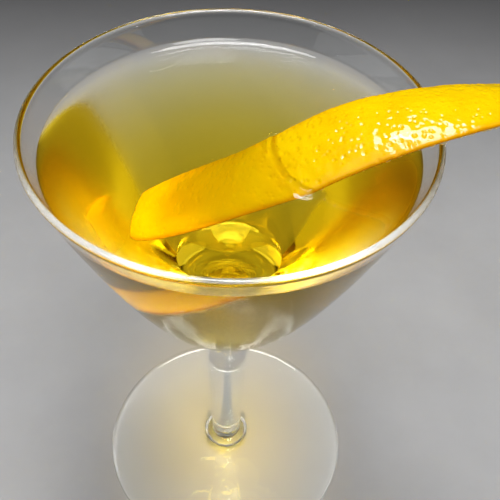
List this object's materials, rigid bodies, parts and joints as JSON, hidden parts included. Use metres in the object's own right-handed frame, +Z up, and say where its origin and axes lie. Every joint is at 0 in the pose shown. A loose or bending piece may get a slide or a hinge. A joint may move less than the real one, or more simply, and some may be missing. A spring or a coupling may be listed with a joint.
{
  "type": "stemmed cocktail glass",
  "caption": "Stemmed cocktail glass with a deep conical bowl, a tapered stem, a collar and a round foot, holding a drink and a lift-out strip of citrus peel.",
  "frame": {"origin": "centre of the foot's underside, where the glass stands", "axes": "+Z up along the glass's axis, +X towards the side where the peel leaves the glass"},
  "size_m": [0.1073, 0.086, 0.1354],
  "materials": {
    "bowl_glass": "polished",
    "stem_glass": "polished",
    "foot_glass": "polished",
    "drink": "gloss",
    "zest": "satin",
    "pith": "matte"
  },
  "bodies": {
    "glass": {"bowl": "bowl_glass", "stem": "stem_glass", "stem_collar": "stem_glass", "foot": "foot_glass", "drink": "drink"},
    "garnish": {"peel_zest": "zest", "peel_pith": "pith"}
  },
  "joints": [
    {"name": "garnish_lift", "type": "slide", "parent": "glass", "child": "garnish", "axis": [0, 0, 1], "range_m": [0, 0.06], "deforming": ["drink"]}
  ]
}
